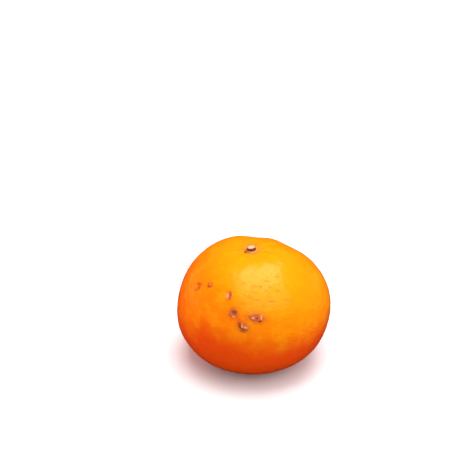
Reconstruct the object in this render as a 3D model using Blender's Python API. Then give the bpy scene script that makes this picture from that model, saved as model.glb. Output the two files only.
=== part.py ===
"""A kara mandarin as picked: the whole fruit, its dried calyx and the clipped stub of its stalk.

Metres, +Z up. The fruit rests on the flat spot under it, at z = 0, and is centred on the origin.
-Y is the side that faces the viewer. Run it with blender --background --python part.py, or from
Blender's text editor.
"""

from math import acos, asin, atan2, cos, exp, hypot, pi, radians, sin

import bmesh
import bpy
from mathutils import Matrix, Vector

MM = 0.001

# The fruit's size and section. Its section is a circle of half the width, squashed to the height,
# with its widest ring dropped below the middle and its two ends a little flattened.
HALF_WIDTH = 34.8 * MM
HALF_HEIGHT = 28.05 * MM
WIDEST_RING_DROP = 2.85 * MM
END_FLATTENING = 0.8 * MM
LEAN = radians(2.5)

# Gentle swellings of the peel, where the fruit is fuller or flatter than round:
# azimuth from +X, angle from the stem end, spread (degrees), and height.
SWELLINGS = (
    (125, 42, 26, 1.5 * MM),
    (104, 36, 9, 0.2 * MM),
    (84, 36, 8, -0.75 * MM),
    (64, 37, 10, 0.4 * MM),
    (60, 40, 24, -0.4 * MM),
    (42, 44, 12, -0.45 * MM),
    (8, 82, 24, 0.5 * MM),
    (-12, 108, 24, -0.5 * MM),
    (160, 56, 14, 0.35 * MM),
    (178, 112, 26, -0.5 * MM),
    (190, 100, 15, 0.5 * MM),
)

# The dip at the stem end, and the furrows that run out of it and fade on the shoulder:
# azimuth, half-width (degrees) and depth.
DIP_RADIUS = 7.0 * MM
DIP_DEPTH = 1.5 * MM
FURROW_START = 3.0 * MM
FURROW_REACH = 11.0 * MM
FURROWS = (
    (-78, 12, 0.45 * MM),
    (-40, 11, 0.35 * MM),
    (-6, 12, 0.40 * MM),
    (28, 11, 0.35 * MM),
    (78, 15, 0.50 * MM),
    (128, 11, 0.40 * MM),
    (169, 10, 0.30 * MM),
    (-152, 12, 0.40 * MM),
    (-118, 10, 0.30 * MM),
)

# The underside: the fruit settles on a flat spot, round the small dimple of the flower's scar.
SETTLING = 0.55 * MM
SETTLING_BLEND = 0.8 * MM
SCAR_DIMPLE_RADIUS = 4.4 * MM
SCAR_DIMPLE_DEPTH = 0.8 * MM

# The stub of the stalk, and the socket that it stands in. Its cut is slanted: a little higher at the
# front and at the right.
STUB_RADIUS = 1.95 * MM
STUB_RISE = 1.95 * MM
STUB_SINK = 1.6 * MM
STUB_SLANT_FRONT = radians(3.0)
STUB_SLANT_RIGHT = radians(5.0)
STUB_EDGE = 0.25 * MM
GAP = 0.3 * MM

# The calyx: a thin disc of short lobes with a raised collar round the stub.
LOBES = 5
LOBE_AZIMUTH = radians(206.0)
CALYX_RADIUS = 2.8 * MM
LOBE_LENGTH = 0.7 * MM
LOBE_POINTEDNESS = 1.6
LOBE_UNEVENNESS = 0.28
CALYX_THICKNESS = 0.75 * MM
COLLAR_RISE = 0.4 * MM

# Fineness of the meshes.
FRUIT_SEGMENTS = 88
FRUIT_RINGS = 42
CALYX_SEGMENTS = 60
CALYX_RINGS = 5
STUB_SEGMENTS = 28

PEEL_COLOUR = (0.95, 0.26, 0.01, 1.0)
CALYX_COLOUR = (0.16, 0.075, 0.03, 1.0)
STUB_COLOUR = (0.80, 0.62, 0.40, 1.0)
PEEL_ROUGHNESS = 0.38
CALYX_ROUGHNESS = 0.8
STUB_ROUGHNESS = 0.7
SHARP_FROM = radians(40)


def direction(azimuth, polar):
    """The unit vector at an azimuth from +X and an angle from the stem end."""
    return Vector((sin(polar) * cos(azimuth), sin(polar) * sin(azimuth), cos(polar)))


def turn_between(angle, other):
    """The turn from one azimuth to another, from -pi to pi."""
    return (angle - other + pi) % (2 * pi) - pi


def furrow_depth(radius, azimuth):
    """How deep the furrows of the stem end are at a distance from its axis."""
    if radius < FURROW_START:
        return 0.0
    fade = exp(-(((radius - FURROW_START) / FURROW_REACH) ** 2))
    onset = min(1.0, (radius - FURROW_START) / FURROW_START)
    depth = 0.0
    for middle, half_width, deepest in FURROWS:
        turn = turn_between(azimuth, radians(middle)) / radians(half_width)
        depth += deepest * exp(-turn * turn)
    return depth * fade * onset


def peel_point(polar, azimuth):
    """A point of the peel, from the section's own centre, with the stem end straight up."""
    radius = HALF_WIDTH * sin(polar)
    height = (
        (HALF_HEIGHT + END_FLATTENING) * cos(polar)
        + WIDEST_RING_DROP / 2 * cos(2 * polar)
        - END_FLATTENING * cos(3 * polar)
    )
    if polar < pi / 2:
        height -= DIP_DEPTH * exp(-((radius / DIP_RADIUS) ** 2))
        height -= furrow_depth(radius, azimuth)
    outward = direction(azimuth, polar)
    swelling = 0.0
    for middle, from_stem, spread, rise in SWELLINGS:
        apart = acos(max(-1.0, min(1.0, outward.dot(direction(radians(middle), radians(from_stem))))))
        swelling += rise * exp(-((apart / radians(spread)) ** 2))
    return Vector((radius * cos(azimuth), radius * sin(azimuth), height)) + swelling * outward


def settled(height):
    """A height above the floor, once the fruit has settled: flat under it, and eased in round that."""
    if height <= 0.0:
        return 0.0
    if height < SETTLING_BLEND:
        return height * height / (2 * SETTLING_BLEND)
    return height - SETTLING_BLEND / 2


def scar_dimple(distance):
    """How far the dimple of the flower's scar goes up into the underside."""
    share = distance / SCAR_DIMPLE_RADIUS
    return SCAR_DIMPLE_DEPTH * (1 - share * share) ** 2 if share < 1 else 0.0


def material(name, colour, roughness):
    """A Principled material of one colour."""
    made = bpy.data.materials.new(name)
    made.use_nodes = True
    shader = made.node_tree.nodes["Principled BSDF"]
    shader.inputs["Base Color"].default_value = colour
    shader.inputs["Roughness"].default_value = roughness
    return made


def new_object(name, bm, finish):
    """A smooth-shaded object of a bmesh, with its sharp edges kept."""
    bmesh.ops.recalc_face_normals(bm, faces=bm.faces)
    mesh = bpy.data.meshes.new(name)
    bm.to_mesh(mesh)
    bm.free()
    mesh.shade_smooth()
    mesh.set_sharp_from_angle(angle=SHARP_FROM)
    if finish:
        mesh.materials.append(finish)
    made = bpy.data.objects.new(name, mesh)
    bpy.context.collection.objects.link(made)
    return made


def make_axis():
    """An empty at the section's centre, turned as the fruit leans, that carries the stem end's pieces."""
    axis = bpy.data.objects.new("stem_axis", None)
    bpy.context.collection.objects.link(axis)
    axis.rotation_euler = (0, -LEAN, 0)
    return axis


def make_fruit(axis):
    """The fruit, leant, settled on its flat spot and centred. It puts the axis in place with it."""
    bm = bmesh.new()
    bmesh.ops.create_uvsphere(bm, u_segments=FRUIT_SEGMENTS, v_segments=FRUIT_RINGS, radius=1.0)
    lean = Matrix.Rotation(-LEAN, 3, "Y")
    for vert in bm.verts:
        polar = acos(max(-1.0, min(1.0, vert.co.z)))
        azimuth = atan2(vert.co.y, vert.co.x)
        vert.co = lean @ peel_point(polar, azimuth)
    scar = lean @ peel_point(pi, 0.0)
    floor = min(vert.co.z for vert in bm.verts) + SETTLING
    middle_x = (min(vert.co.x for vert in bm.verts) + max(vert.co.x for vert in bm.verts)) / 2
    middle_y = (min(vert.co.y for vert in bm.verts) + max(vert.co.y for vert in bm.verts)) / 2
    for vert in bm.verts:
        height = settled(vert.co.z - floor)
        if vert.co.z < 0:
            height += scar_dimple(hypot(vert.co.x - scar.x, vert.co.y - scar.y))
        vert.co = Vector((vert.co.x - middle_x, vert.co.y - middle_y, height))
    axis.location = (-middle_x, -middle_y, -floor - SETTLING_BLEND / 2)
    return new_object("fruit", bm, material("peel", PEEL_COLOUR, PEEL_ROUGHNESS))


def cut_socket(fruit, axis):
    """The plain socket in the fruit that the stub stands in."""
    bm = bmesh.new()
    depth = STUB_SINK + GAP
    bmesh.ops.create_cone(
        bm,
        cap_ends=True,
        segments=STUB_SEGMENTS,
        radius1=STUB_RADIUS + GAP,
        radius2=STUB_RADIUS + GAP,
        depth=2 * depth,
    )
    cutter = new_object("socket_cutter", bm, None)
    cutter.parent = axis
    cutter.location = (0, 0, peel_point(0.0, 0.0).z)
    cutter.hide_render = True
    cutter.display_type = "WIRE"
    cut = fruit.modifiers.new("socket", "BOOLEAN")
    cut.operation = "DIFFERENCE"
    cut.solver = "EXACT"
    cut.object = cutter


def calyx_edge(azimuth):
    """The calyx's radius at an azimuth: five short lobes, no two alike."""
    turn = azimuth - LOBE_AZIMUTH
    lobe = (0.5 + 0.5 * cos(LOBES * turn)) ** LOBE_POINTEDNESS
    uneven = 1 - LOBE_UNEVENNESS + LOBE_UNEVENNESS * cos(turn)
    return CALYX_RADIUS + LOBE_LENGTH * lobe * uneven


def calyx_height(radius, azimuth, share):
    """The height of the calyx's top face, at a share of the way from the collar to the edge."""
    peel = peel_point(asin(radius / HALF_WIDTH), azimuth).z
    collar = COLLAR_RISE * (1 - share) ** 2
    return peel + GAP + CALYX_THICKNESS + collar


def make_calyx(axis):
    """The calyx, lofted from ring to ring: out along its top face and back along its underside."""
    bm = bmesh.new()
    inner = STUB_RADIUS + GAP
    rings = []
    for side in ("top", "under"):
        steps = range(CALYX_RINGS)
        for step in steps if side == "top" else reversed(steps):
            share = step / (CALYX_RINGS - 1)
            ring = []
            for number in range(CALYX_SEGMENTS):
                azimuth = 2 * pi * number / CALYX_SEGMENTS
                radius = inner + (calyx_edge(azimuth) - inner) * share
                height = calyx_height(radius, azimuth, share)
                if side == "under":
                    height = peel_point(asin(radius / HALF_WIDTH), azimuth).z + GAP
                ring.append(bm.verts.new((radius * cos(azimuth), radius * sin(azimuth), height)))
            rings.append(ring)
    for ring, following in zip(rings, rings[1:] + rings[:1]):
        for number in range(CALYX_SEGMENTS):
            after = (number + 1) % CALYX_SEGMENTS
            bm.faces.new((ring[number], following[number], following[after], ring[after]))
    calyx = new_object("calyx", bm, material("dry_calyx", CALYX_COLOUR, CALYX_ROUGHNESS))
    calyx.parent = axis
    return calyx


def make_stub(axis):
    """The stub of the stalk: a short round peg with a worn edge, cut across at a slight slant."""
    bm = bmesh.new()
    bmesh.ops.create_cone(
        bm,
        cap_ends=True,
        segments=STUB_SEGMENTS,
        radius1=STUB_RADIUS,
        radius2=STUB_RADIUS,
        depth=STUB_RISE + STUB_SINK,
    )
    bmesh.ops.translate(bm, verts=bm.verts, vec=(0, 0, (STUB_RISE - STUB_SINK) / 2))
    top_edges = [edge for edge in bm.edges if all(vert.co.z > 0 for vert in edge.verts)]
    bmesh.ops.bevel(bm, geom=top_edges, offset=STUB_EDGE, segments=2, profile=0.5, affect="EDGES")
    for vert in bm.verts:
        if vert.co.z > 0:
            vert.co.z += vert.co.x * sin(STUB_SLANT_RIGHT) - vert.co.y * sin(STUB_SLANT_FRONT)
    stub = new_object("stem_stub", bm, material("cut_stalk", STUB_COLOUR, STUB_ROUGHNESS))
    stub.parent = axis
    stub.location = (0, 0, peel_point(0.0, 0.0).z)
    return stub


def main():
    for old in list(bpy.data.objects):
        bpy.data.objects.remove(old)
    axis = make_axis()
    fruit = make_fruit(axis)
    cut_socket(fruit, axis)
    make_calyx(axis)
    make_stub(axis)


main()
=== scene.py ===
"""The looks of a kara mandarin: its pored and marked peel, its dried calyx and the clipped stub of its
stalk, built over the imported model, with a pale floor, soft studio lights and the photograph's view.

It is laid out as an add-on and run as a script. Each piece has its own settings, operator and button.
"""

from math import cos, degrees, pi, radians, sin

import bpy
import numpy as np
from bpy.props import FloatProperty, FloatVectorProperty, IntProperty, PointerProperty
from bpy.types import Operator, Panel, PropertyGroup
from mathutils import Matrix, Vector, noise


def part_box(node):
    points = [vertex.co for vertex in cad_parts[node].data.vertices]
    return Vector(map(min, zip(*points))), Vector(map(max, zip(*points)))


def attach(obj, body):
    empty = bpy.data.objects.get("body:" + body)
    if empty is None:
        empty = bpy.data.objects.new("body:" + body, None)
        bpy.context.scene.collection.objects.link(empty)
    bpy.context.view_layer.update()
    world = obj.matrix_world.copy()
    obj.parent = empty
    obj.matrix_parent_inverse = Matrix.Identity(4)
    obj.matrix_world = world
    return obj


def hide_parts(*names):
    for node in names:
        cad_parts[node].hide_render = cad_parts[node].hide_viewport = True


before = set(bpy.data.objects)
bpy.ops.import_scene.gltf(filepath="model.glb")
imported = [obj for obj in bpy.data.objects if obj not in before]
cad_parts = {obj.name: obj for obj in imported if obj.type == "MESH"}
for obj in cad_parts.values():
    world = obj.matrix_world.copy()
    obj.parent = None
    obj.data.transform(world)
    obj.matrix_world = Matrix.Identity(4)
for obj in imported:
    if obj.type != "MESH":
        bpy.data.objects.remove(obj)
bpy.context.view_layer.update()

bl_info = {
    "name": "Kara mandarin",
    "version": (1, 0, 0),
    "blender": (4, 5, 0),
    "location": "View3D > Sidebar > Mandarin",
    "description": "Builds a kara mandarin's peel, calyx and stalk stub over its packed model",
    "category": "Object",
}

FRUIT_LOW, FRUIT_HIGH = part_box("fruit")
STUB_LOW, STUB_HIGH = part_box("stem_stub")

# The width that the fruit is drawn at, in millimetres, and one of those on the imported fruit.
DRAWN_WIDTH = 69.68
MM = (FRUIT_HIGH.x - FRUIT_LOW.x) / DRAWN_WIDTH

# The fruit's section, as in the solid model: half its width, half its height, how far the widest ring
# lies below the middle, how much its two ends are flattened, and how far it leans to the left.
HALF_WIDTH = 34.8 * MM
HALF_HEIGHT = 28.05 * MM
WIDEST_RING_DROP = 2.85 * MM
END_FLATTENING = 0.8 * MM
LEAN = radians(2.5)

# Swellings and hollows: azimuth, angle from the stem end and spread in degrees, and rise.
SWELLINGS = (
    (125, 42, 26, 1.5 * MM),
    (104, 36, 9, 0.2 * MM),
    (84, 36, 8, -0.75 * MM),
    (64, 37, 10, 0.4 * MM),
    (60, 40, 24, -0.4 * MM),
    (42, 44, 12, -0.45 * MM),
    (8, 82, 24, 0.5 * MM),
    (-12, 108, 24, -0.5 * MM),
    (160, 56, 14, 0.35 * MM),
    (178, 112, 26, -0.5 * MM),
    (190, 100, 15, 0.5 * MM),
)

# The dip at the stem end, and the furrows that run out of it: azimuth and half-width in degrees, depth.
DIP_RADIUS = 7.0 * MM
DIP_DEPTH = 1.5 * MM
FURROW_START = 3.0 * MM
FURROW_REACH = 11.0 * MM
FURROWS = (
    (-78, 12, 0.45 * MM),
    (-40, 11, 0.35 * MM),
    (-6, 12, 0.40 * MM),
    (28, 11, 0.35 * MM),
    (78, 15, 0.50 * MM),
    (128, 11, 0.40 * MM),
    (169, 10, 0.30 * MM),
    (-152, 12, 0.40 * MM),
    (-118, 10, 0.30 * MM),
)

# How softly the flat spot begins that the fruit rests on, and the flower's scar in its dimple.
SETTLING_BLEND = 0.8 * MM
SCAR_DIMPLE_RADIUS = 4.4 * MM
SCAR_DIMPLE_DEPTH = 0.8 * MM
SCAR_RADIUS = 1.3 * MM

# The stub of the stalk, how its cut slants, and how much wider than the stub its socket is.
STUB_RADIUS = 1.95 * MM
STUB_RISE = 1.95 * MM
STUB_SINK = 1.6 * MM
STUB_LENGTH = STUB_RISE + STUB_SINK
STUB_SLANT_FRONT = radians(3.0)
STUB_SLANT_RIGHT = radians(5.0)
SOCKET_PLAY = 0.2 * MM

# The calyx's lobes. The azimuth is that of the longest one, which is also the darkest.
LOBES = 5
LOBE_AZIMUTH = radians(206.0)
CALYX_RADIUS = 2.8 * MM
LOBE_LENGTH = 0.7 * MM
LOBE_POINTEDNESS = 1.6
LOBE_UNEVENNESS = 0.28
DARK_LOBE_HALF_ANGLE = 0.6

# The marks on the side that the photograph shows. Each is an azimuth and an angle from the stem end in
# degrees, and its spots: kind, place to the right and up (mm), half-length and half-width (mm), turn.
# Cork is a healed plate, dark a sunken core, pale a raised fleck, rust a stained edge, scuff a faint rub;
# creases are shallow dents darkened with painted shade.
SEEN_MARKS = (
    (-151.9, 51.2, (
        ("scuff", -0.9, -0.2, 1.3, 0.9, 0), ("pale", -0.9, -0.3, 0.6, 0.3, 0),
        ("rust", -0.3, 1.25, 2, 0.8, 15), ("dark", -0.5, 1.2, 0.8, 0.2, 10),
        ("rust", 1.1, -0.1, 0.9, 1.1, 80), ("rust", -0.1, -1.75, 1.5, 0.75, 45),
        ("dark", 0, -1.5, 0.6, 0.2, 45),
    )),
    (-139, 45, (
        ("rust", 0, 0, 1.7, 1.45, 0), ("dark", 0, -0.65, 0.7, 0.42, 5),
        ("pale", 0.15, 0.35, 0.42, 0.34, 0),
    )),
    (-114.4, 48, (
        ("cork", 0.35, 0.1, 0.8, 1.4, 10), ("pale", -0.45, -0.2, 0.7, 1.25, 15),
        ("dark", 0.45, 1.45, 0.75, 0.45, -20), ("dark", 0.95, 0.55, 0.36, 0.85, 8),
        ("rust", 0.95, -0.7, 0.55, 0.95, 10),
    )),
    (-106.6, 60.2, (
        ("cork", -0.1, 0.1, 1.6, 1.6, 0), ("dark", 0.15, 0.15, 1, 1.05, 20),
        ("rust", -0.4, 1.45, 1.2, 0.6, 10), ("dark", 1.2, 0.4, 0.35, 0.9, 0),
        ("rust", -1.2, -1.35, 0.9, 0.45, -35), ("pale", 0.05, -1.6, 0.75, 0.45, 5),
    )),
    (-101.5, 65.5, (("scuff", -0.2, 0, 1.3, 2.6, 25),)),
    (-88.2, 63.5, (
        ("cork", 0, 0.1, 2.8, 1.5, -12), ("dark", 0.25, -0.2, 0.6, 0.5, -20),
        ("rust", 0.9, -1.1, 1, 0.7, -40), ("dark", 1.6, -1.7, 0.8, 0.4, 30),
        ("rust", -1.8, -0.6, 0.9, 0.35, -35), ("rust", 0.4, 1.4, 2.1, 0.45, -8),
        ("rust", -2.5, 0.8, 0.7, 0.5, 20), ("pale", -1.4, 0, 0.6, 0.45, 0),
        ("pale", 2.1, 0, 0.38, 1.05, 0),
    )),
    (-98.4, 70, (
        ("cork", 0, 0, 2, 1.4, -20), ("dark", -1.5, 0.35, 0.75, 1.25, 15),
        ("dark", -0.3, -1.15, 1, 0.55, -30), ("dark", 1.1, -1.5, 0.85, 0.3, -20),
        ("rust", 0.75, 1.05, 0.95, 0.5, -25), ("rust", -0.2, -2.1, 1.6, 0.45, -15),
        ("pale", -0.5, 0.15, 0.36, 0.85, 12), ("pale", 1, -0.35, 0.85, 0.42, -15),
    )),
    # Fine creases across the highlight: shallow dents darkened with painted shade.
    (-81, 44.2, (
        ("crease_shade", -2.8, 2.7, 1.7, 0.38, -6), ("crease_shade", -0.5, 2.4, 0.9, 0.42, -5),
        ("crease_shade", 3.8, 1.8, 0.9, 0.38, -7), ("crease_shade", 7, -0.3, 1.2, 0.42, -7),
        ("crease_shade", 1.8, 0.2, 0.6, 0.42, -5), ("crease_shade", -6.9, 5.1, 0.9, 0.5, -13),
        ("crease_shade", -6, -1.5, 1.5, 0.4, -22), ("crease_shade", -3.1, -3.2, 2.1, 0.42, -18),
        ("crease_shade", 3.6, -4.7, 1.6, 0.45, -4), ("crease_shade", 3, -2.7, 1.2, 0.3, -8),
        ("crease_shade", -2.6, -0.3, 0.4, 0.5, 0), ("crease_shade", 10.5, -4.6, 2.2, 0.34, -6),
        ("crease_shade", -0.1, -6.1, 0.7, 0.4, -6), ("crease_shade", -7.8, -0.5, 1.3, 0.3, -25),
        ("crease_shade", 7.8, 6.5, 1.4, 0.34, -3), ("crease_shade", 2.8, 4.7, 1.8, 0.35, -8),
        ("crease_shade", -8.3, 6.6, 1.2, 0.3, -12), ("crease_shade", -10.4, -3.9, 0.8, 0.3, -15),
    )),
    # Round the stalk: painted shade in the dip, with faint dents.
    (-90, 0, (
        ("crease_shade", 3.4, 1.4, 0.8, 2.4, -5), ("crease_shade", 0.3, 5, 3, 2, 0),
        ("crease_shade", -3.6, 1.6, 1.1, 1.5, 0),
    )),
)
MARK_KINDS = ("cork", "dark", "pale", "rust", "scuff", "crease_shade")

# The distance kept where no spot of a kind is near, in shares of a spot's size.
NO_MARK = 4.0

# The marks of the other sides: azimuths (degrees), heights on a unit sphere, how near the viewer's side
# (a cosine), half-lengths (mm), widths for that, and the half-length from which they have a core.
HIDDEN_AZIMUTHS = (-10, 190)
HIDDEN_HEIGHTS = (-0.6, 0.75)
HIDDEN_LIMIT = -0.15
HIDDEN_LENGTHS = (0.7, 2.0)
HIDDEN_WIDTHS = (0.6, 1.0)
HIDDEN_CORE_LENGTH = 1.0

# The relief of the marks over the peel, and the size and depth of what frays their edges.
PLATE_RISE = 0.10 * MM
RIM_DEPTH = 0.05 * MM
CORE_DEPTH = 0.16 * MM
FLECK_RISE = 0.08 * MM
CRUST_RISE = 0.05 * MM
CRUST_SIZE = 0.7 * MM
FRAY_SIZE = 1.1 * MM
FRAY = 0.22

# The margins within which the peel's faces are halved, in shares of a mark's size, and the angles from
# the axis at the stem end and at the flower's scar that count as one share (degrees).
FINER_MARGINS = (1.9, 1.45)
FINER_STEM_END = 5.5
FINER_SCAR = 2.5

# How ragged each kind's coloured edge is, where it begins and where it is full, in shares of a spot's
# size. The halo is the darker ring round a corky plate.
SPOT_EDGES = {
    "scuff": (1.0, 1.25, 0.45),
    "cork": (1.0, 1.4, 0.65),
    "rust": (1.0, 1.4, 0.6),
    "dark": (0.8, 1.35, 0.6),
    "pale": (0.6, 1.3, 0.65),
    "crease_shade": (0.5, 1.9, 0.2),
}
HALO_EDGE = (2.7, 0.9)
SCAR_EDGE = (1.5, 0.8)
FLECK_EDGE = (0.055, 0.035)

# The ground colours. A pair is where a change begins and where it is full: heights over the floor,
# places across (to the right), depths (to the back), distances, or values of the clouds.
BROAD_CLOUDS = 13 * MM
SMALL_CLOUDS = 5 * MM
# From the middle to the stem end the peel turns yellower: partly its own colour, partly painted light,
# lighter on top and towards the right, where the lights fall.
RIPE_AND_LIT_HEIGHTS = (30 * MM, 51 * MM)
RIPE_AND_LIT_SLOPE = 0.5
PALE_CLOUDS = (0.46, 0.66)
PALE_SHARE = 0.5
# A painted glow round the gloss's highlight: the yellower colour, spread round the point where the
# highlight falls.
HIGHLIGHT_GLOW_PLACE = (5 * MM, -16 * MM, 51 * MM)
HIGHLIGHT_GLOW_REACH = (24 * MM, 8 * MM)
HIGHLIGHT_GLOW_SHARE = 0.6
# Painted shade low down: red-orange, beginning lower in front and at the sides, and weaker at the back.
PAINTED_SHADE_HEIGHTS = (38 * MM, 24 * MM)
FRONT_DEPTHS = (-18 * MM, -34 * MM)
FRONT_ACROSS = (-20 * MM, -2 * MM)
RIGHT_ACROSS = (14 * MM, 34 * MM)
LEFT_ACROSS = (-21 * MM, -30 * MM)
BACK_DEPTHS = (-4 * MM, 16 * MM)
BACK_PALENESS = 0.35
# Painted shade on the left edge, from mid-height up, in the same red-orange.
SHADED_ACROSS = (-22 * MM, -35 * MM)
SHADED_HEIGHTS = (20 * MM, 32 * MM)
SHADED_SHARE = 0.22

# How much lower the painted shade low down begins in front, on the right and on the left, and how far
# clouds shift it.
FRONT_DROP = 5 * MM
RIGHT_DROP = 7 * MM
LEFT_DROP = 7.5 * MM
BROAD_SHIFT = 10 * MM
SMALL_SHIFT = 4 * MM

# The photograph's view: the section's centre falls on this pixel of the 450-pixel frame.
PHOTO_SIDE = 450
FOCAL_PIXELS = 1200.0
FRUIT_CENTRE_PIXEL = (253.5, 304.8)
VIEW_PITCH = radians(28.2)
VIEW_DEPTH = 0.5416
SENSOR = 36.0

# The overhead strips, side by side, in metres. A light's back points away from what it faces, and
# upright runs along its height.
STRIPS = (-1, 0, 1)
STRIP_MIDDLE = Vector((0.034, 0.124, 0.892))
STRIP_BACK = (0.356, -0.207, 0.911)
STRIP_ACROSS = Vector((0.923, 0.147, -0.327))
STRIP_UPRIGHT = Vector((-0.066, 0.958, 0.244))
STRIP_WIDTH = 0.265
STRIP_LENGTH = 0.72
STRIP_LIFT = 0.08

# The panel over the camera, and the right-hand bounce, which is mirrored for the left-hand one.
PANEL_PLACE = (0.240, -0.434, 0.714)
PANEL_BACK = (0.223, -0.674, 0.704)
PANEL_UPRIGHT = (-0.246, 0.66, 0.71)
PANEL_SIZE = (1.04, 0.60)
BOUNCE_PLACE = (0.42, 0.21, 0.05)
BOUNCE_BACK = (0.90, 0.43, 0.04)
BOUNCE_SIZE = (0.4, 0.16)
RIGHT_BOUNCE_SHARE = 0.55

# The white room and the floor: how bright they show, the room's light from low down and from all
# round, what the floor throws back as light and in the gloss, and where it fades into the room.
SHOWN_WHITE = 1.05
LOW_LIGHT = 0.85
ROUND_LIGHT = 0.15
FLOOR_THROWS = 0.50
FLOOR_IN_GLOSS = 0.015
FLOOR_FADE = (0.12, 0.45)


def a_length(name, description, default):
    """A setting for a length, in metres."""
    return FloatProperty(name=name, description=description, default=default, unit="LENGTH", precision=5)


def a_power(name, description, default):
    """A setting for a light's power, in watts."""
    return FloatProperty(name=name, description=description, default=default, unit="POWER")


def a_colour(name, place, default):
    """A setting for the colour of a place."""
    described = f"Colour of the {place}"
    return FloatVectorProperty(name=name, description=described, default=default, subtype="COLOR")


class PeelSettings(PropertyGroup):
    """Sizes and colours of the peel."""

    cuts: IntProperty(
        name="Fineness", description="Cuts along each side of the cube that is rounded",
        default=103, min=15, max=160,
    )
    inset: a_length("Skin inset", "How far the smooth skin lies inside the solid model", 0.13 * MM)
    pebble_size: a_length("Pebble size", "Distance between the low pebbles of the peel", 2.4 * MM)
    pebble_height: a_length("Pebble height", "Height of the pebbles", 0.14 * MM)
    gland_size: a_length("Gland size", "Distance between the larger sunken oil glands", 1.7 * MM)
    gland_depth: a_length("Gland depth", "Depth of the larger oil glands", 0.07 * MM)
    pore_spacing: a_length("Pore spacing", "Distance between the pores of the oil glands", 1.0 * MM)
    hidden_marks: IntProperty(
        name="Marks elsewhere", description="How many corky marks the other sides have",
        default=13, min=0, max=60,
    )
    mark_seed: IntProperty(name="Seed", description="Chooses where those marks lie", default=7)
    roughness: FloatProperty(
        name="Roughness", description="Roughness of the waxy skin", default=0.17, subtype="FACTOR",
    )
    gloss_tint: a_colour("Gloss tint", "gloss on the wax", (1.0, 0.80, 0.32))
    # The stem end and middle colours also carry painted light: the peel is painted yellower upwards and to
    # the right.
    stem_end_colour: a_colour("Stem end", "peel round the stalk", (0.93, 0.282, 0.0006))
    middle_colour: a_colour("Middle", "peel round its middle", (0.93, 0.200, 0.0008))
    # This yellower colour serves both the peel's pale patches and the painted glow round the highlight.
    pale_patch_and_glow_colour: a_colour("Pale patches", "yellower patches", (0.95, 0.32, 0.001))
    # This red-orange is painted shade, low down and along the left edge.
    painted_shade_colour: a_colour("Flower end", "blush low down", (0.87, 0.070, 0.001))
    pore_colour: a_colour("Pores", "sunken oil glands", (0.88, 0.13, 0.001))
    # The creases' colour is painted shade.
    crease_shade_colour: a_colour("Creases", "fine creases", (0.35, 0.15, 0.001))
    cork_colour: a_colour("Cork", "healed marks", (0.53, 0.105, 0.056))
    rust_colour: a_colour("Rust", "marks' rusty edges and rings", (0.50, 0.085, 0.006))
    dark_cork_colour: a_colour("Dark cork", "marks' sunken cores", (0.31, 0.036, 0.014))
    pale_cork_colour: a_colour("Pale cork", "marks' raised flecks", (0.85, 0.32, 0.13))
    scuff_colour: a_colour("Scuff", "faint red rubs", (0.80, 0.10, 0.008))


class CalyxSettings(PropertyGroup):
    """Sizes and colours of the dried calyx."""

    collar: a_length("Collar", "Height of the collar round the stalk over the peel", 0.95 * MM)
    lobe_rise: a_length("Lobe rise", "Height of the lobes over the peel", 0.62 * MM)
    colour: a_colour("Colour", "dry lobes", (0.84, 0.29, 0.065))
    blotch_colour: a_colour("Blotches", "withered parts", (0.24, 0.062, 0.006))


class StubSettings(PropertyGroup):
    """Colours of the clipped stub."""

    cut_colour: a_colour("Cut face", "cut wood", (0.62, 0.41, 0.25))
    pith_colour: a_colour("Pith", "pith in the middle", (0.72, 0.53, 0.35))
    bark_colour: a_colour("Bark", "stub's bark", (0.25, 0.055, 0.009))


class StageSettings(PropertyGroup):
    """The floor and the lights."""

    strip_power: a_power("Strip power", "Power of the three overhead strips together", 9.6)
    front_power: a_power("Front panel power", "Power of the softer panel over the camera", 3.6)
    bounce_power: a_power("Bounce power", "Power of the left-hand one of the warm bounces", 1.5)
    bounce_colour: a_colour("Bounce", "warm bounces", (1.0, 0.15, 0.02))
    surround: FloatProperty(
        name="Surround", description="Brightness of the white room as light on the fruit", default=1.2,
    )
    mirrored: FloatProperty(
        name="Mirrored room", description="Brightness of the room in the fruit's gloss", default=0.006,
    )
    floor_colour: a_colour("Floor", "floor", (0.93, 0.925, 0.935))


class Value:
    """An output of a node. Python's signs between values add Math nodes."""

    def __init__(self, nodes, socket):
        self.nodes = nodes
        self.socket = socket

    def joined(self, operation, first, second):
        """A Math node on two values or numbers."""
        return self.nodes.node("ShaderNodeMath", {"operation": operation}, {0: first, 1: second})

    def __add__(self, other):
        return self.joined("ADD", self, other)

    def __radd__(self, other):
        return self.joined("ADD", other, self)

    def __sub__(self, other):
        return self.joined("SUBTRACT", self, other)

    def __rsub__(self, other):
        return self.joined("SUBTRACT", other, self)

    def __mul__(self, other):
        return self.joined("MULTIPLY", self, other)

    def sine(self):
        """Waves that run from -1 to 1."""
        return self.nodes.node("ShaderNodeMath", {"operation": "SINE"}, {0: self})

    def from_to(self, start, end):
        """0 at start, 1 at end, and a smooth step between them. Start may be the higher one."""
        low, high = min(start, end), max(start, end)
        step = self.nodes.node(
            "ShaderNodeMapRange",
            {"interpolation_type": "SMOOTHSTEP"},
            {"Value": self, "From Min": low, "From Max": high},
        )
        return step if start < end else 1 - step


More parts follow.
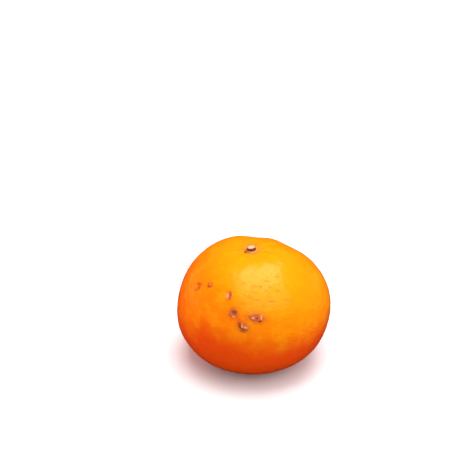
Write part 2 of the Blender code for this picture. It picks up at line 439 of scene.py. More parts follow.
class Nodes:
    """A node tree that values and expressions are added to."""

    def __init__(self, tree):
        self.tree = tree

    def node(self, kind, settings=None, inputs=None, output=0):
        """Adds a node, makes its settings, then feeds its sockets, and gives one of its outputs."""
        made = self.tree.nodes.new(kind)
        for name, value in (settings or {}).items():
            setattr(made, name, value)
        for name, value in (inputs or {}).items():
            self.feed(made.inputs[name], value)
        return Value(self, made.outputs[output])

    def feed(self, socket, value):
        """Links a value to a socket, or sets the socket."""
        if isinstance(value, Value):
            self.tree.links.new(value.socket, socket)
        elif hasattr(value, "__len__") and len(value) == 3 and len(socket.default_value) == 4:
            socket.default_value = (*value, 1.0)
        else:
            socket.default_value = value

    def mix(self, share, first, second):
        """The first colour where share is 0, and the second where it is 1."""
        return self.node("ShaderNodeMix", {"data_type": "RGBA"}, {0: share, 6: first, 7: second}, 2)

    def blend(self, share, first, second):
        """The first number where share is 0, and the second where it is 1."""
        return self.node("ShaderNodeMix", {"data_type": "FLOAT"}, {0: share, 2: first, 3: second}, 0)

    def stretched(self, place, scale):
        """Coordinates stretched by three factors."""
        return self.node("ShaderNodeMapping", None, {"Vector": place, "Scale": scale})

    def clouds(self, place, size, detail=2.0):
        """Cloudy noise round 0.5, with features of a size."""
        return self.node("ShaderNodeTexNoise", None, {"Vector": place, "Scale": 1 / size, "Detail": detail})

    def cells(self, place, spacing):
        """Distance from the middles of scattered cells, in shares of their spacing."""
        return self.node("ShaderNodeTexVoronoi", None, {"Vector": place, "Scale": 1 / spacing}, "Distance")

    def part(self, place, axis):
        """One of a vector's three numbers: X, Y or Z."""
        return self.node("ShaderNodeSeparateXYZ", None, {0: place}, axis)

    def attribute(self, name):
        """A value kept on the mesh's points."""
        return self.node("ShaderNodeAttribute", {"attribute_name": name}, None, "Fac")

    def bump(self, height, depth, under=None):
        """A normal from a height of 0 to 1 that stands for a real depth."""
        inputs = {"Height": height, "Distance": depth}
        if under:
            inputs["Normal"] = under
        return self.node("ShaderNodeBump", None, inputs)


class Finish(Nodes):
    """A Principled material, with the sockets that are the same all over set as numbers."""

    def __init__(self, name, constants):
        self.material = bpy.data.materials.new(name)
        self.material.use_nodes = True
        super().__init__(self.material.node_tree)
        self.shader = self.tree.nodes["Principled BSDF"]
        self.place = self.node("ShaderNodeTexCoord", output="Object")
        for socket, value in constants.items():
            self.feed(self.shader.inputs[socket], value)

    def wear(self, colour, roughness, normal):
        """Feeds the shader's varying sockets, and gives the material."""
        for name, value in (("Base Color", colour), ("Roughness", roughness), ("Normal", normal)):
            self.feed(self.shader.inputs[name], value)
        return self.material


def darker(colour, share):
    """A colour with only a share of its light."""
    return tuple(share * part for part in colour)


def directions(azimuth, polar):
    """Unit directions at azimuths from +X and angles from the stem end, in radians."""
    return np.stack((np.sin(polar) * np.cos(azimuth), np.sin(polar) * np.sin(azimuth), np.cos(polar)), -1)


def round_axis(radius, azimuth, height):
    """Points at distances from the stem's axis, azimuths and heights."""
    return np.stack((radius * np.cos(azimuth), radius * np.sin(azimuth), height), -1)


def turn_between(angle, other):
    """The turn from one azimuth to another, from -pi to pi."""
    return (angle - other + pi) % (2 * pi) - pi


def bell(distance):
    """A smooth bell: 1 at 0, and near 0 from 2 on."""
    return np.exp(-distance * distance)


def furrow_depth(radius, azimuth):
    """How deep the stem end's furrows are at a distance from its axis."""
    onset = np.clip((radius - FURROW_START) / FURROW_START, 0.0, 1.0)
    fade = bell((radius - FURROW_START) / FURROW_REACH)
    depth = sum(
        deepest * bell(turn_between(azimuth, radians(middle)) / radians(half_width))
        for middle, half_width, deepest in FURROWS
    )
    return depth * fade * onset


def peel_points(azimuth, polar):
    """Points of the smooth peel, from the section's centre, with the stem end straight up."""
    outward = directions(azimuth, polar)
    radius = HALF_WIDTH * np.sin(polar)
    height = (
        (HALF_HEIGHT + END_FLATTENING) * np.cos(polar)
        + WIDEST_RING_DROP / 2 * np.cos(2 * polar)
        - END_FLATTENING * np.cos(3 * polar)
    )
    dip = DIP_DEPTH * bell(radius / DIP_RADIUS) + furrow_depth(radius, azimuth)
    height = height - np.where(polar < pi / 2, dip, 0.0)
    swelling = np.zeros(np.shape(polar))
    for middle, from_stem, spread, rise in SWELLINGS:
        towards = directions(radians(middle), radians(from_stem))
        apart = np.arccos(np.clip(outward @ towards, -1.0, 1.0))
        swelling += rise * bell(apart / radians(spread))
    return round_axis(radius, azimuth, height) + swelling[..., None] * outward


def peel_height(radius, azimuth):
    """Height of the smooth peel near the stem end, at a distance from its axis."""
    return peel_points(azimuth, np.arcsin(radius / HALF_WIDTH))[..., 2]


STEM_AXIS = Vector((-sin(LEAN), 0.0, cos(LEAN)))
DIP_HEIGHT = float(peel_height(np.zeros(1), np.zeros(1))[0])
SECTION_CENTRE = (STUB_LOW + STUB_HIGH) / 2 - STEM_AXIS * (DIP_HEIGHT + (STUB_RISE - STUB_SINK) / 2)


def leant(points):
    """Points that are given with the stem end straight up, as the fruit leans and lies in the frame."""
    turn = np.array(Matrix.Rotation(-LEAN, 3, "Y"))
    return points @ turn.T + np.array(SECTION_CENTRE)


def places(items, name="co"):
    """The places that a mesh's points or faces keep under a name, as an array."""
    flat = np.empty(len(items) * 3)
    items.foreach_get(name, flat)
    return flat.reshape(-1, 3)


def put_points(mesh, points):
    """Moves a mesh's points."""
    mesh.vertices.foreach_set("co", np.ravel(points))
    mesh.update()


def keep_values(mesh, name, values):
    """Keeps one value for each point of a mesh."""
    kept = mesh.attributes.new(name, "FLOAT", "POINT")
    kept.data.foreach_set("value", values.astype(np.float32))


def change_mode(mode):
    """Goes to EDIT or OBJECT mode."""
    bpy.ops.object.mode_set(mode=mode)


def start_piece(add, name, **sizes):
    """Deselects all, adds a primitive by its operator and names it."""
    bpy.context.tool_settings.mesh_select_mode = (True, False, False)
    bpy.ops.object.select_all(action="DESELECT")
    add(**sizes)
    piece = bpy.context.active_object
    piece.name = piece.data.name = name
    return piece


def apply_modifier(piece, kind, name, **settings):
    """Adds a modifier, sets it and applies it."""
    modifier = piece.modifiers.new(name, kind)
    for setting, value in settings.items():
        setattr(modifier, setting, value)
    bpy.ops.object.modifier_apply(modifier=modifier.name)


def relief(name, kind, size, **settings):
    """A procedural texture for a Displace modifier, with features of a size."""
    texture = bpy.data.textures.new(name, kind)
    texture.noise_scale = size
    for setting, value in settings.items():
        setattr(texture, setting, value)
    return texture


def face_outwards():
    """Turns all the faces of the active piece outwards."""
    change_mode("EDIT")
    bpy.ops.mesh.select_all(action="SELECT")
    bpy.ops.mesh.normals_make_consistent(inside=False)
    change_mode("OBJECT")


def finish_piece(piece, node, material):
    """Gives a piece its material and its place in the frame."""
    piece.data.materials.clear()
    piece.data.materials.append(material)
    bpy.ops.object.shade_smooth()
    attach(piece, "root")
    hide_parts(node)


def all_marks(peel):
    """The marks of the seen side, and as many seeded ones as the settings ask for on the others."""
    draw = np.random.default_rng(peel.mark_seed)
    marks = list(SEEN_MARKS)
    towards_viewer = np.array((0.0, -cos(VIEW_PITCH), sin(VIEW_PITCH)))
    while len(marks) < len(SEEN_MARKS) + peel.hidden_marks:
        azimuth = draw.uniform(*HIDDEN_AZIMUTHS)
        polar = degrees(np.arccos(draw.uniform(*HIDDEN_HEIGHTS)))
        if directions(radians(azimuth), radians(polar)) @ towards_viewer > HIDDEN_LIMIT:
            continue
        length = draw.uniform(*HIDDEN_LENGTHS)
        width = length * draw.uniform(*HIDDEN_WIDTHS)
        turn = draw.uniform(-90, 90)
        shift = draw.uniform(-0.3, 0.3, 4) * length
        spots = [("cork", 0.0, 0.0, length, width, turn)]
        if length > HIDDEN_CORE_LENGTH:
            spots.append(("dark", shift[0], shift[1], 0.45 * length, 0.5 * width, turn))
            spots.append(("rust", 3 * shift[2], -3 * shift[3], 0.4 * length, 0.3 * width, -turn))
            spots.append(("pale", -2 * shift[0], shift[3], 0.3 * length, 0.25 * width, turn))
        marks.append((azimuth, polar, tuple(spots)))
    return marks


def mark_distances(outward, marks):
    """For each kind of spot, how far each direction is from the nearest, in shares of its size."""
    nearest = {kind: np.full(len(outward), NO_MARK) for kind in MARK_KINDS}
    small_turn = 0.01
    widest_cosine = 0.5
    for azimuth_degrees, polar_degrees, spots in marks:
        azimuth, polar = radians(azimuth_degrees), radians(polar_degrees)
        right = np.array((-sin(azimuth), cos(azimuth), 0.0))
        up = np.array((-cos(polar) * cos(azimuth), -cos(polar) * sin(azimuth), sin(polar)))
        ends = peel_points(np.full(2, azimuth), np.array((polar - small_turn, polar + small_turn)))
        up_scale = np.linalg.norm(ends[1] - ends[0]) / (2 * small_turn)
        facing = outward @ directions(azimuth, polar) > widest_cosine
        for kind, to_right, to_top, half_length, half_width, turn in spots:
            across = outward @ right * HALF_WIDTH - to_right * MM
            along = outward @ up * up_scale - to_top * MM
            spin = radians(turn)
            first = (across * cos(spin) + along * sin(spin)) / (half_length * MM)
            second = (along * cos(spin) - across * sin(spin)) / (half_width * MM)
            distance = np.where(facing, np.hypot(first, second), NO_MARK)
            nearest[kind] = np.minimum(nearest[kind], distance)
    return nearest


def unit(points):
    """Points moved in or out to 1 from the middle."""
    return points / np.linalg.norm(points, axis=1, keepdims=True)


def round_cube(mesh):
    """Rounds a cube of points from -1 to 1 to the unit sphere, with its faces spread evenly."""
    put_points(mesh, unit(np.tan(places(mesh.vertices) * (pi / 4))))


def refine_for_detail(mesh, marks):
    """Halves the faces of the unit sphere where the marks, the stem end and the flower's scar are."""
    bpy.context.tool_settings.mesh_select_mode = (False, False, True)
    for margin in FINER_MARGINS:
        middles = unit(places(mesh.polygons, "center"))
        nearest = mark_distances(middles, marks)
        wanted = np.minimum(nearest["cork"], nearest["dark"]) < margin
        wanted |= np.degrees(np.arccos(np.clip(middles[:, 2], -1, 1))) < FINER_STEM_END * margin
        wanted |= np.degrees(np.arccos(np.clip(-middles[:, 2], -1, 1))) < FINER_SCAR * margin
        change_mode("EDIT")
        bpy.ops.mesh.select_all(action="DESELECT")
        change_mode("OBJECT")
        mesh.polygons.foreach_set("select", wanted)
        change_mode("EDIT")
        bpy.ops.mesh.subdivide(number_cuts=1, quadcorner="INNERVERT")
        change_mode("OBJECT")
        put_points(mesh, unit(places(mesh.vertices)))


def sway(points, size, seed):
    """Smooth noise from about -1 to 1 at points, with features of a size."""
    offset = Vector((seed, 2.0 * seed, 3.0 * seed))
    return np.array([noise.noise(Vector(point) / size + offset) for point in points])


def within(distance, start, slope):
    """0 outside the start, rising evenly to 1 at a slope's width inside it."""
    return np.clip((start - distance) / slope, 0, 1)


def mark_relief(nearest, points):
    """Height of the corky marks over the peel: a crusted plate with sunken cores and raised flecks."""
    relief_height = np.zeros(len(points))
    near = np.flatnonzero(np.minimum(nearest["cork"], nearest["pale"]) < 2.0)
    crust = sway(points[near], CRUST_SIZE, 1)
    frayed = {kind: nearest[kind][near] + FRAY * sway(points[near], FRAY_SIZE, 5) for kind in MARK_KINDS}
    plate = PLATE_RISE * within(frayed["cork"], 1.15, 0.3)
    rim = -RIM_DEPTH * bell((frayed["cork"] - 1.25) / 0.16)
    core = -CORE_DEPTH * within(frayed["dark"], 1.1, 0.5)
    fleck = FLECK_RISE * within(frayed["pale"], 1.1, 0.4)
    grain = CRUST_RISE * crust * within(frayed["cork"], 1.1, 0.3)
    relief_height[near] = plate + rim + core + fleck + grain
    return relief_height


def peel_pigment(finish, look, broad, patchy):
    """The peel's ground colour: yellow-orange at the stem end, with painted light that makes it yellower on
    top, to the right and round the highlight, and painted shade in red-orange low down and along the left
    edge.
    """
    place = finish.place
    height = finish.part(place, "Z")
    across = finish.part(place, "X")
    back = finish.part(place, "Y")
    # Partly painted light: yellower upwards and to the right, where the lights fall.
    ripe_and_lit = (height + across * RIPE_AND_LIT_SLOPE).from_to(*RIPE_AND_LIT_HEIGHTS)
    pigment = finish.mix(ripe_and_lit, look.middle_colour, look.stem_end_colour)
    pigment = finish.mix(patchy.from_to(*PALE_CLOUDS) * PALE_SHARE, pigment, look.pale_patch_and_glow_colour)
    # Painted glow round the highlight, in the same yellow.
    from_highlight_glow = finish.node(
        "ShaderNodeVectorMath", {"operation": "DISTANCE"}, {0: place, 1: HIGHLIGHT_GLOW_PLACE}, "Value",
    )
    pigment = finish.mix(from_highlight_glow.from_to(*HIGHLIGHT_GLOW_REACH) * HIGHLIGHT_GLOW_SHARE, pigment, look.pale_patch_and_glow_colour)
    # Painted shade low down, beginning lower in front and at the sides.
    front = back.from_to(*FRONT_DEPTHS) * across.from_to(*FRONT_ACROSS)
    sides = across.from_to(*RIGHT_ACROSS) * RIGHT_DROP + across.from_to(*LEFT_ACROSS) * LEFT_DROP
    clear_height = height + front * FRONT_DROP + sides
    painted_shade_height = clear_height + (broad - 0.5) * BROAD_SHIFT + (patchy - 0.5) * SMALL_SHIFT
    painted_shade = painted_shade_height.from_to(*PAINTED_SHADE_HEIGHTS) * (1 - back.from_to(*BACK_DEPTHS) * BACK_PALENESS)
    # Painted shade along the left edge, from mid-height up.
    shaded = across.from_to(*SHADED_ACROSS) * height.from_to(*SHADED_HEIGHTS) * SHADED_SHARE
    return finish.mix(painted_shade + shaded, pigment, look.painted_shade_colour)


def peel_finish(look):
    """Waxy citrus peel: colour from stem end to flower end, with painted light and shade in it, pores,
    marks and a satin gloss.
    """
    finish = Finish(
        "kara_peel",
        {
            "IOR": 1.45,
            "Specular Tint": look.gloss_tint,
            "Subsurface Weight": 0.12,
            "Subsurface Radius": (1.0, 0.35, 0.05),
            "Subsurface Scale": 2.0 * MM,
        },
    )
    place = finish.place
    broad = finish.clouds(place, BROAD_CLOUDS, 3)
    patchy = finish.clouds(place, SMALL_CLOUDS, 3)
    pore = finish.cells(place, look.pore_spacing).from_to(0.38, 0.06)
    small_pore = finish.cells(place, 0.52 * look.pore_spacing).from_to(0.34, 0.08)
    wobble = (finish.clouds(place, 0.6 * MM, 3) - 0.5) * 0.9
    spots = {
        kind: (finish.attribute(kind) + wobble * raggedness).from_to(start, full)
        for kind, (raggedness, start, full) in SPOT_EDGES.items()
    }
    halo = (finish.attribute("cork") + wobble).from_to(*HALO_EDGE)
    scar = (finish.attribute("flower_scar") + wobble * 0.5).from_to(*SCAR_EDGE)
    fleck_cells = finish.cells(place, 6.5 * MM) + (finish.clouds(place, 0.4 * MM) - 0.5) * 0.05

    # The layers over the pigment, from the lowest: how much each covers, and its colour.
    layers = (
        (pore * 0.40 + small_pore * 0.12, look.pore_colour),
        # The creases are darkened with painted shade.
        (spots["crease_shade"] * 0.6, look.crease_shade_colour),
        (spots["scuff"] * 0.7, look.scuff_colour),
        (halo * 0.5, look.rust_colour),
        (spots["cork"] * 0.9, look.cork_colour),
        (spots["rust"] * 0.85, look.rust_colour),
        (spots["dark"] * 0.95, look.dark_cork_colour),
        (spots["pale"] * 0.9, look.pale_cork_colour),
        (fleck_cells.from_to(*FLECK_EDGE) * 0.5, look.rust_colour),
        (scar, look.dark_cork_colour),
    )
    colour = peel_pigment(finish, look, broad, patchy)
    for cover, layer_colour in layers:
        colour = finish.mix(cover, colour, layer_colour)

    # The layers of fine relief, from the lowest: how high each stands, and its full depth.
    wrinkle = finish.clouds(finish.stretched(place, (1, 1, 2.8)), 3.2 * MM, 1).from_to(0.54, 0.24)
    wrinkled = wrinkle * (0.2 + broad.from_to(0.45, 0.65) * 0.8)
    fine_grain = finish.clouds(place, 0.28 * MM, 2)
    relief_layers = (
        (wrinkled * -1.0, 0.10 * MM),
        (spots["crease_shade"] * -1.0, 0.05 * MM),
        (pore * -1.0, 0.065 * MM),
        (small_pore * -1.0, 0.03 * MM),
        (fine_grain * (0.2 + spots["cork"]), 0.04 * MM),
    )
    normal = None
    for height, depth in relief_layers:
        normal = finish.bump(height, depth, normal)

    dull = spots["cork"] * 0.3 + spots["crease_shade"] * 0.35 + pore * 0.08 + (patchy - 0.5) * 0.10
    return finish.wear(colour, look.roughness + dull, normal)


def calyx_finish(look):
    """Dry calyx: tan lobes with withered blotches, painted shade where they meet the stalk, and fine
    fibres.
    """
    finish = Finish("dry_calyx", {"Specular IOR Level": 0.3})
    mottle = finish.clouds(finish.place, 1.3 * MM, 4)
    fibre = finish.clouds(finish.stretched(finish.place, (1, 1, 0.3)), 0.22 * MM, 3)
    outward = finish.attribute("towards_edge") + (mottle - 0.5) * 0.5
    withered = mottle.from_to(0.50, 0.68) * 0.5
    lobe = finish.mix(withered, look.colour, look.blotch_colour)
    # Painted shade in the groove where the lobes meet the stalk, in a darker copy of the withered colour.
    colour = finish.mix(outward.from_to(0.12, 0.40), darker(look.blotch_colour, 0.6), lobe)
    colour = finish.mix(fibre.from_to(0.62, 0.42) * 0.45, colour, darker(look.colour, 0.5))
    colour = finish.mix(finish.attribute("dark_lobe") * 0.95, colour, look.blotch_colour)
    normal = finish.bump(fibre, 0.08 * MM)
    return finish.wear(colour, 0.72 + (mottle - 0.5) * 0.3, normal)


def stub_finish(look):
    """The stub: pale cut wood with pith and faint rings, and brown bark down its side."""
    finish = Finish("cut_stalk", {"Specular IOR Level": 0.35})
    grain = finish.clouds(finish.place, 0.30 * MM, 3)
    ridge = finish.clouds(finish.stretched(finish.place, (1, 1, 0.25)), 0.35 * MM, 3)
    outward = finish.attribute("from_pith")
    ring = (outward * 26.0 + grain * 3.0).sine()
    ringed = ring.from_to(0.0, 1.0) * 0.35 + grain.from_to(0.55, 0.7) * 0.3
    wood = finish.mix(outward.from_to(0.12, 0.34), look.pith_colour, look.cut_colour)
    wood = finish.mix(ringed, wood, darker(look.cut_colour, 0.72))
    wood = finish.mix(outward.from_to(0.84, 0.97), wood, look.bark_colour)
    bark = finish.mix(ridge.from_to(0.4, 0.62), darker(look.bark_colour, 0.5), look.bark_colour)
    colour = finish.mix(finish.attribute("cut_face").from_to(0.35, 0.65), bark, wood)
    normal = finish.bump(ridge * 0.6 + grain * 0.4, 0.09 * MM)
    return finish.wear(colour, 0.75 + (grain - 0.5) * 0.2, normal)


def pebble(piece, look, evenness):
    """Raises low pebbles and sinks oil glands over a peel, as much at each point as evenness says."""
    group = piece.vertex_groups.new(name="pebbled")
    for index, weight in enumerate(evenness):
        group.add((index,), float(weight), "REPLACE")
    pebbles = relief("pebbles", "CLOUDS", look.pebble_size, noise_depth=1)
    glands = relief("glands", "VORONOI", look.gland_size, distance_metric="DISTANCE")
    for texture, depth in ((pebbles, look.pebble_height), (glands, look.gland_depth)):
        apply_modifier(
            piece, "DISPLACE", texture.name, texture=texture, texture_coords="LOCAL", direction="NORMAL",
            mid_level=1.0, strength=depth, vertex_group=group.name,
        )
    piece.vertex_groups.clear()


def settle(mesh, polar, axis_distance):
    """Settles the fruit flat on the floor, eased in round that, and presses in the scar's dimple."""
    points = places(mesh.vertices)
    rise = points[:, 2] + SETTLING_BLEND / 2
    eased = rise * rise / (2 * SETTLING_BLEND)
    free = np.where(rise < SETTLING_BLEND, eased, rise - SETTLING_BLEND / 2)
    share = np.where(polar > pi / 2, axis_distance / SCAR_DIMPLE_RADIUS, 1.0)
    dimple = SCAR_DIMPLE_DEPTH * (1 - np.minimum(share, 1.0) ** 2) ** 2
    points[:, 2] = np.where(rise <= 0, 0.0, free) + dimple
    put_points(mesh, points)


class MANDARIN_OT_peel(Operator):
    """Rounds a cube into the fruit, with its dip, furrows, pebbles, glands and marks"""

    bl_idname = "mandarin.peel"
    bl_label = "Make the peel"

    calm_round_marks = 0.9
    calm_round_stem = 2.0 * MM
    calm_slope = 2.5 * MM

    def execute(self, context):
        look = context.scene.mandarin_peel
        piece = start_piece(bpy.ops.mesh.primitive_cube_add, "peel", size=2.0)
        change_mode("EDIT")
        bpy.ops.mesh.subdivide(number_cuts=look.cuts)
        change_mode("OBJECT")
        mesh = piece.data
        round_cube(mesh)
        marks = all_marks(look)
        refine_for_detail(mesh, marks)

        outward = places(mesh.vertices)
        polar = np.arccos(np.clip(outward[:, 2], -1, 1))
        azimuth = np.arctan2(outward[:, 1], outward[:, 0])
        axis_distance = HALF_WIDTH * np.sin(polar)
        nearest = mark_distances(outward, marks)
        for kind in MARK_KINDS:
            keep_values(mesh, kind, nearest[kind])
        scar = np.where(polar > pi / 2, axis_distance / SCAR_RADIUS, NO_MARK)
        keep_values(mesh, "flower_scar", np.minimum(scar, NO_MARK))

        smooth = peel_points(azimuth, polar)
        raised = mark_relief(nearest, smooth) - look.inset
        socket = (axis_distance < STUB_RADIUS + SOCKET_PLAY) & (polar < pi / 2)
        sunk = np.outer(socket * STUB_SINK, (0, 0, 1))
        put_points(mesh, leant(smooth + raised[:, None] * outward - sunk))

        from_stem = (axis_distance - self.calm_round_stem) / self.calm_slope
        from_marks = nearest["cork"] - self.calm_round_marks
        pebble(piece, look, np.clip(np.minimum(from_marks, from_stem), 0.0, 1.0))
        settle(mesh, polar, axis_distance)
        finish_piece(piece, "fruit", peel_finish(look))
        return {"FINISHED"}


def lobe_share(azimuth):
    """1 along the middle of each lobe of the calyx, and 0 between two lobes."""
    return (0.5 + 0.5 * np.cos(LOBES * (azimuth - LOBE_AZIMUTH))) ** LOBE_POINTEDNESS


def calyx_edge(azimuth):
    """The calyx's radius at azimuths: five short pointed lobes, no two alike."""
    uneven = 1 - LOBE_UNEVENNESS + LOBE_UNEVENNESS * np.cos(azimuth - LOBE_AZIMUTH)
    return CALYX_RADIUS + LOBE_LENGTH * lobe_share(azimuth) * uneven


class MANDARIN_OT_calyx(Operator):
    """Draws the calyx out from a ring round the stalk to its lobes, and gives it thickness"""

    bl_idname = "mandarin.calyx"
    bl_label = "Make the calyx"

    rings = 14
    segments = 150
    overlap = 0.05 * MM
    sink = 0.10 * MM
    underside = 0.05 * MM
    vein_height = 0.05 * MM
    wrinkle_height = 0.03 * MM
    gap_depth = 0.28 * MM
    edge_droop = 0.34 * MM
    edge_sway = 0.03
    rough_layers = ((0.07 * MM, 0.5 * MM, 3), (0.05 * MM, 0.22 * MM, 9))

    def top(self, peel, share, azimuth, look):
        """Height of the calyx's top over the peel's, by how far out towards its edge it is."""
        veins = self.vein_height * np.cos(3 * LOBES * (azimuth - LOBE_AZIMUTH)) * np.sin(pi * share)
        first_wrinkle = np.sin(23 * azimuth + 5 * np.sin(3 * azimuth))
        wrinkle = first_wrinkle + np.sin(37 * azimuth + 4 * np.sin(2 * azimuth))
        veins += self.wrinkle_height * wrinkle * np.clip(share / 0.4, 0, 1) * (1 - 0.5 * share)
        gap = self.gap_depth * (1 - lobe_share(azimuth)) * np.clip(share - 0.25, 0, 1)
        rise = look.collar + (look.lobe_rise - look.collar) * np.clip(share / 0.5, 0, 1) ** 0.8
        return peel + rise + veins - gap - self.edge_droop * np.clip((share - 0.55) / 0.45, 0, 1) ** 2

    def execute(self, context):
        look = context.scene.mandarin_calyx
        piece = start_piece(
            bpy.ops.mesh.primitive_circle_add, "calyx_lobes",
            vertices=self.segments, radius=1.0, fill_type="NOTHING",
        )
        change_mode("EDIT")
        bpy.ops.mesh.select_all(action="SELECT")
        for ring in range(1, self.rings):
            bpy.ops.mesh.extrude_region_move()
            bpy.ops.transform.resize(value=((ring + 1) / ring,) * 3)
        change_mode("OBJECT")
        flat = places(piece.data.vertices)
        ring_share = (np.hypot(flat[:, 0], flat[:, 1]) - 1) / (self.rings - 1)
        apply_modifier(piece, "SOLIDIFY", "thickness", thickness=0.1, offset=-1.0)

        mesh = piece.data
        under = np.arange(len(mesh.vertices)) >= len(flat)
        share = np.tile(ring_share, 2)
        azimuth = np.tile(np.arctan2(flat[:, 1], flat[:, 0]), 2)
        inner = STUB_RADIUS - self.overlap
        radius = inner + (calyx_edge(azimuth) - inner) * share
        peel = peel_height(radius, azimuth) - self.sink
        height = np.where(under, peel - self.underside, self.top(peel, share, azimuth, look))
        points = round_axis(radius, azimuth, height)
        rough = sum(depth * sway(points, size, seed) for depth, size, seed in self.rough_layers)
        points[:, 2] += np.where(under, 0.0, rough)
        points[:, :2] *= (1 + self.edge_sway * sway(points, 0.6 * MM, 4) * share)[:, None]
        keep_values(mesh, "towards_edge", share)
        dark_lobe = bell(turn_between(azimuth, LOBE_AZIMUTH) / DARK_LOBE_HALF_ANGLE)
        keep_values(mesh, "dark_lobe", dark_lobe)
        put_points(mesh, leant(points))
        apply_modifier(piece, "SUBSURF", "smooth", levels=1, render_levels=1)
        face_outwards()
        finish_piece(piece, "calyx", calyx_finish(look))
        return {"FINISHED"}


class MANDARIN_OT_stub(Operator):
    """Extrudes the stub up from its foot, insets its cut face and roughens both"""

    bl_idname = "mandarin.stub"
    bl_label = "Make the stub"

    segments = 72
    steps = 14
    insets = 9
    taper = 0.04
    ridge_depth = 0.10
    grain_depth = 0.04
    edge_wear = 0.05
    cut_roughness = 0.06 * MM
    pith_depth = 0.12 * MM
    sink = 0.10 * MM

    def execute(self, context):
        look = context.scene.mandarin_stub
        piece = start_piece(
            bpy.ops.mesh.primitive_circle_add, "stalk_stub",
            vertices=self.segments, radius=STUB_RADIUS, fill_type="NGON",
        )
        change_mode("EDIT")
        bpy.ops.mesh.select_all(action="SELECT")
        step = (0, 0, STUB_LENGTH / self.steps)
        for _ in range(self.steps):
            bpy.ops.mesh.extrude_region_move(TRANSFORM_OT_translate={"value": step})
        for _ in range(self.insets):
            bpy.ops.mesh.inset(thickness=STUB_RADIUS / (self.insets + 0.4))
        face_outwards()

        mesh = piece.data
        points = places(mesh.vertices)
        outward = np.hypot(points[:, 0], points[:, 1]) / STUB_RADIUS
        rise = points[:, 2] / STUB_LENGTH
        on_top = rise > 1 - 0.5 / self.steps
        keep_values(mesh, "cut_face", np.where(on_top, 1.0, 0.0))
        keep_values(mesh, "from_pith", outward)
        ridges = self.ridge_depth * sway(points * (1, 1, 0.3), 0.8 * MM, 2)
        ridges = ridges + self.grain_depth * sway(points, 0.3 * MM, 8)
        worn = self.edge_wear * bell((rise - 1.0) / 0.08)
        spread = 1 - self.taper + outward * (ridges * 0.6 - worn)
        points[:, :2] *= spread[:, None]
        slant = points[:, 0] * sin(STUB_SLANT_RIGHT) - points[:, 1] * sin(STUB_SLANT_FRONT)
        points[:, 2] += rise * slant
        cut = self.cut_roughness * sway(points, 0.45 * MM, 6) - self.pith_depth * bell(outward / 0.22)
        points[:, 2] += np.where(on_top, cut - self.sink * (outward > 0.95), 0.0)
        points[:, 2] += DIP_HEIGHT - STUB_SINK - self.sink
        put_points(mesh, leant(points))
        apply_modifier(piece, "SUBSURF", "smooth", levels=1, render_levels=1)
        finish_piece(piece, "stem_stub", stub_finish(look))
        return {"FINISHED"}


def set_world(surround, mirrored):
    """A white room: white to the camera, softer as light, and dim in the fruit's gloss."""
    world = bpy.data.worlds.new("white_room")
    bpy.context.scene.world = world
    world.use_nodes = True
    nodes = Nodes(world.node_tree)
    seen = nodes.node("ShaderNodeLightPath", output="Is Camera Ray")
    glossy = nodes.node("ShaderNodeLightPath", output="Is Glossy Ray")
    rise = nodes.part(nodes.node("ShaderNodeTexCoord", output="Generated"), "Z")
    room = rise.from_to(1.0, -0.1) * (LOW_LIGHT * surround) + ROUND_LIGHT * surround
    strength = seen * SHOWN_WHITE + (1 - seen) * nodes.blend(glossy, room, mirrored)
    background = world.node_tree.nodes["Background"]
    nodes.feed(background.inputs["Color"], (1.0, 1.0, 1.0))
    nodes.feed(background.inputs["Strength"], strength)


def floor_finish(colour):
    """A pale floor that fades into the white room, and throws back less light than it shows."""
    material = bpy.data.materials.new("pale_floor")
    material.use_nodes = True
    nodes = Nodes(material.node_tree)
    place = nodes.node("ShaderNodeTexCoord", output="Object")
    distance = nodes.node("ShaderNodeVectorMath", {"operation": "LENGTH"}, {0: place}, "Value")
    seen = nodes.node("ShaderNodeLightPath", output="Is Camera Ray")
    glossy = nodes.node("ShaderNodeLightPath", output="Is Glossy Ray")
    thrown = nodes.mix(glossy, darker(colour, FLOOR_THROWS), darker(colour, FLOOR_IN_GLOSS))
    matt = nodes.node("ShaderNodeBsdfDiffuse", None, {"Color": nodes.mix(seen, thrown, colour)})
    white = {"Color": (1.0, 1.0, 1.0), "Strength": seen * SHOWN_WHITE}
    glow = nodes.node("ShaderNodeEmission", None, white)
    both = nodes.node("ShaderNodeMixShader", None, {0: distance.from_to(*FLOOR_FADE), 1: matt, 2: glow})
    output = material.node_tree.nodes["Material Output"]
    nodes.feed(output.inputs["Surface"], both)
    return material


def add_light(name, place, back, upright, size, power):
    """A rectangular soft light at a place, its back to one direction and its height along another."""
    bpy.ops.object.select_all(action="DESELECT")
    back = Vector(back).normalized()
    across = Vector(upright).cross(back).normalized()
    turn = Matrix((across, back.cross(across), back)).transposed().to_euler()
    bpy.ops.object.light_add(type="AREA", location=place, rotation=turn)
    light = bpy.context.active_object
    light.name = name
    light.data.shape = "RECTANGLE"
    light.data.size, light.data.size_y = size
    light.data.energy = power
    return light


def add_camera():
    """The photograph's view, with its focal length and the fruit on its own pixel."""
    right = Vector((1.0, 0.0, 0.0))
    up = Vector((0.0, sin(VIEW_PITCH), cos(VIEW_PITCH)))
    ahead = Vector((0.0, cos(VIEW_PITCH), -sin(VIEW_PITCH)))
    to_right = (FRUIT_CENTRE_PIXEL[0] - PHOTO_SIDE / 2) / FOCAL_PIXELS * VIEW_DEPTH
    to_top = (PHOTO_SIDE / 2 - FRUIT_CENTRE_PIXEL[1]) / FOCAL_PIXELS * VIEW_DEPTH
    place = SECTION_CENTRE - right * to_right - up * to_top - ahead * VIEW_DEPTH
    bpy.ops.object.camera_add(location=place, rotation=(pi / 2 - VIEW_PITCH, 0.0, 0.0))
    camera = bpy.context.active_object
    camera.data.sensor_width = SENSOR
    camera.data.lens = SENSOR * FOCAL_PIXELS / PHOTO_SIDE
    camera.data.dof.use_dof = False
    bpy.context.scene.camera = camera


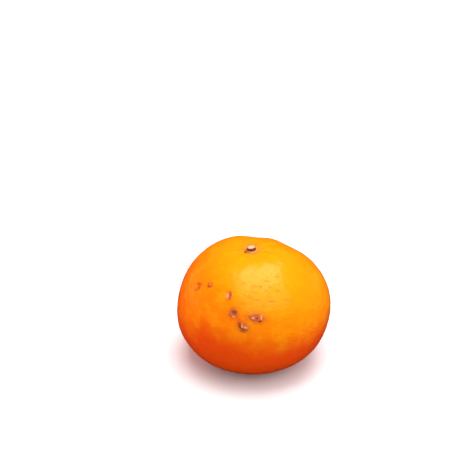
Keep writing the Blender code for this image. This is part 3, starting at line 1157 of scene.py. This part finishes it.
class MANDARIN_OT_stage(Operator):
    """Lays the pale floor and sets the room, the lights and the camera"""

    bl_idname = "mandarin.stage"
    bl_label = "Set the stage"

    def execute(self, context):
        look = context.scene.mandarin_stage
        floor = start_piece(bpy.ops.mesh.primitive_plane_add, "floor", size=8.0)
        floor.data.materials.append(floor_finish(look.floor_colour))
        set_world(look.surround, look.mirrored)
        step = STRIP_WIDTH * STRIP_ACROSS + STRIP_LIFT * STRIP_UPRIGHT
        size = (STRIP_WIDTH, STRIP_LENGTH)
        for strip in STRIPS:
            place = STRIP_MIDDLE + strip * step
            power = look.strip_power / len(STRIPS)
            add_light("overhead_strip", place, STRIP_BACK, STRIP_UPRIGHT, size, power)
        add_light("front_panel", PANEL_PLACE, PANEL_BACK, PANEL_UPRIGHT, PANEL_SIZE, look.front_power)
        spared = bpy.data.collections.new("spared_by_bounces")
        spared.objects.link(floor)
        spared.collection_objects[0].light_linking.link_state = "EXCLUDE"
        for name, side, share in (("left_bounce", -1, 1.0), ("right_bounce", 1, RIGHT_BOUNCE_SHARE)):
            place = (side * BOUNCE_PLACE[0], *BOUNCE_PLACE[1:])
            back = (side * BOUNCE_BACK[0], *BOUNCE_BACK[1:])
            power = share * look.bounce_power
            bounce = add_light(name, place, back, (0.0, 0.0, 1.0), BOUNCE_SIZE, power)
            bounce.data.color = look.bounce_colour
            bounce.visible_camera = False
            bounce.light_linking.receiver_collection = spared
        add_camera()
        view = context.scene.view_settings
        view.view_transform = "Standard"
        view.look = "None"
        return {"FINISHED"}


class MANDARIN_PT_sidebar(Panel):
    """The mandarin's settings and the buttons that make its pieces"""

    bl_label = "Kara mandarin"
    bl_space_type = "VIEW_3D"
    bl_region_type = "UI"
    bl_category = "Mandarin"

    def draw(self, context):
        for piece, _, operator in PIECES:
            box = self.layout.box()
            settings = getattr(context.scene, piece)
            for name in settings.bl_rna.properties.keys():
                if name not in ("rna_type", "name"):
                    box.prop(settings, name)
            box.operator(operator.bl_idname)


# Each piece's settings, by name and class, and its operator.
PIECES = (
    ("mandarin_peel", PeelSettings, MANDARIN_OT_peel),
    ("mandarin_calyx", CalyxSettings, MANDARIN_OT_calyx),
    ("mandarin_stub", StubSettings, MANDARIN_OT_stub),
    ("mandarin_stage", StageSettings, MANDARIN_OT_stage),
)


def register():
    """Makes the settings, operators and panel known to Blender."""
    for name, settings, operator in PIECES:
        bpy.utils.register_class(settings)
        bpy.utils.register_class(operator)
        setattr(bpy.types.Scene, name, PointerProperty(type=settings))
    bpy.utils.register_class(MANDARIN_PT_sidebar)


def unregister():
    """Takes them out again."""
    bpy.utils.unregister_class(MANDARIN_PT_sidebar)
    for name, settings, operator in reversed(PIECES):
        delattr(bpy.types.Scene, name)
        bpy.utils.unregister_class(operator)
        bpy.utils.unregister_class(settings)


def main():
    """Registers the add-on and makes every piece."""
    register()
    bpy.ops.mandarin.stage()
    bpy.ops.mandarin.peel()
    bpy.ops.mandarin.calyx()
    bpy.ops.mandarin.stub()


if __name__ == "__main__":
    main()
